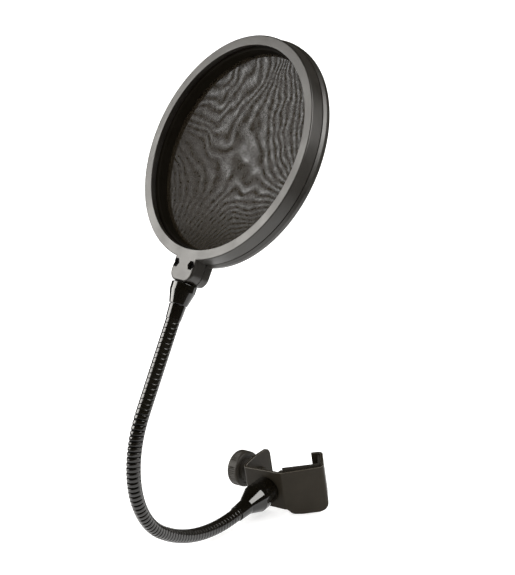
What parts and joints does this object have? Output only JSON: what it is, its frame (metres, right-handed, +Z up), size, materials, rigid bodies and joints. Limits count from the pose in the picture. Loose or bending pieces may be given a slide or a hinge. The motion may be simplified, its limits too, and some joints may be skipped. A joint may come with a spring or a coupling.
{
  "type": "pop filter",
  "caption": "Clamp-on studio pop filter: round twin-mesh hoop on a curved flexible gooseneck, with a bent sheet-metal clamp and thumbscrew for a microphone stand.",
  "frame": {"origin": "middle of the jaw liner's flat face, where the microphone stand bears", "axes": "+Z up as the filter stands on a table, which is 7 degrees off the jaw's own height; +Y from the jaw face into the clamp, away from the hoop's front; +X along the jaw plate, away from the thumbscrew"},
  "size_m": [0.1407, 0.1983, 0.3625],
  "materials": {
    "bracket": "fine matt black powder coat",
    "liner": "matt",
    "knob": "moulded, satin",
    "steel": "bright zinc",
    "gloss_black": "gloss black plating",
    "neck": "black plated wound strip, half gloss",
    "hoop": "satin moulded",
    "dark_plastic": "moulded, matt",
    "screen": "black knitted nylon mesh",
    "fastener": "black oxide"
  },
  "bodies": {
    "clamp": {"clamp_bracket": "bracket", "jaw_liner": "liner", "threaded_bush": "fastener", "mounting_washer": "steel", "mounting_bolt": "fastener", "lower_ferrule": "gloss_black", "neck_link_1": "neck"},
    "pad": {"pressure_pad": "fastener", "pad_facing": "liner"},
    "screw": {"clamp_screw": "steel", "thumb_knob": "knob", "knob_cap": "knob"},
    "neck_2": {"neck_link_2": "neck"},
    "neck_3": {"neck_link_3": "neck"},
    "neck_4": {"neck_link_4": "neck"},
    "neck_5": {"neck_link_5": "neck"},
    "neck_6": {"neck_link_6": "neck"},
    "neck_7": {"neck_link_7": "neck"},
    "neck_8": {"neck_link_8": "neck", "upper_sleeve": "gloss_black", "upper_ferrule": "gloss_black", "stem_stud": "steel"},
    "head": {"front_hoop": "hoop", "rear_hoop": "hoop", "spreader_ring": "dark_plastic", "front_screen": "screen", "rear_screen": "screen", "tab_nut_left": "fastener", "tab_nut_right": "fastener", "tab_screw_left": "fastener", "tab_screw_right": "fastener"}
  },
  "joints": [
    {"name": "neck_curl_1", "type": "hinge", "parent": "clamp", "child": "neck_2", "pos_m": [-0.06624, -0.05195, -0.01716], "axis": [-0.8326, 0.5485, 0.0771], "range_deg": [-14, 15]},
    {"name": "neck_sway_1", "type": "hinge", "parent": "neck_2", "child": "neck_3", "pos_m": [-0.08487, -0.08097, -0.01184], "axis": [0.2119, 0.1868, 0.9593], "range_deg": [-18, 18]},
    {"name": "neck_curl_2", "type": "hinge", "parent": "neck_3", "child": "neck_4", "pos_m": [-0.10169, -0.10841, 0.00166], "axis": [-0.8326, 0.5485, 0.0771], "range_deg": [-18, 10]},
    {"name": "neck_sway_2", "type": "hinge", "parent": "neck_4", "child": "neck_5", "pos_m": [-0.11392, -0.13033, 0.02554], "axis": [0.4992, 0.6826, 0.5337], "range_deg": [-18, 18]},
    {"name": "neck_curl_3", "type": "hinge", "parent": "neck_5", "child": "neck_6", "pos_m": [-0.11784, -0.14089, 0.05831], "axis": [-0.8326, 0.5485, 0.0771], "range_deg": [-18, 10]},
    {"name": "neck_sway_3", "type": "hinge", "parent": "neck_6", "child": "neck_7", "pos_m": [-0.11255, -0.13764, 0.09239], "axis": [0.4801, 0.7841, -0.3933], "range_deg": [-18, 18]},
    {"name": "neck_curl_4", "type": "hinge", "parent": "neck_7", "child": "neck_8", "pos_m": [-0.10201, -0.12604, 0.12367], "axis": [-0.8326, 0.5485, 0.0771], "range_deg": [-18, 18]},
    {"name": "head_swivel", "type": "hinge", "parent": "neck_8", "child": "head", "pos_m": [-0.0839, -0.10606, 0.17703], "axis": [0.3029, 0.3342, 0.8925], "range_deg": [-90, 90]},
    {"name": "screw_travel", "type": "slide", "parent": "clamp", "child": "pad", "axis": [0.7598, -0.6498, 0.0219], "range_m": [-0.012, 0.0095]},
    {"name": "screw_turn", "type": "hinge", "parent": "pad", "child": "screw", "pos_m": [-0.03251, 0.0277, -0.00273], "axis": [0.7598, -0.6498, 0.0219], "range_deg": [-4330, 3430]}
  ],
  "couplings": [
    {"joint": "screw_turn", "follows": "screw_travel", "rad_per_m": 6283.2}
  ]
}
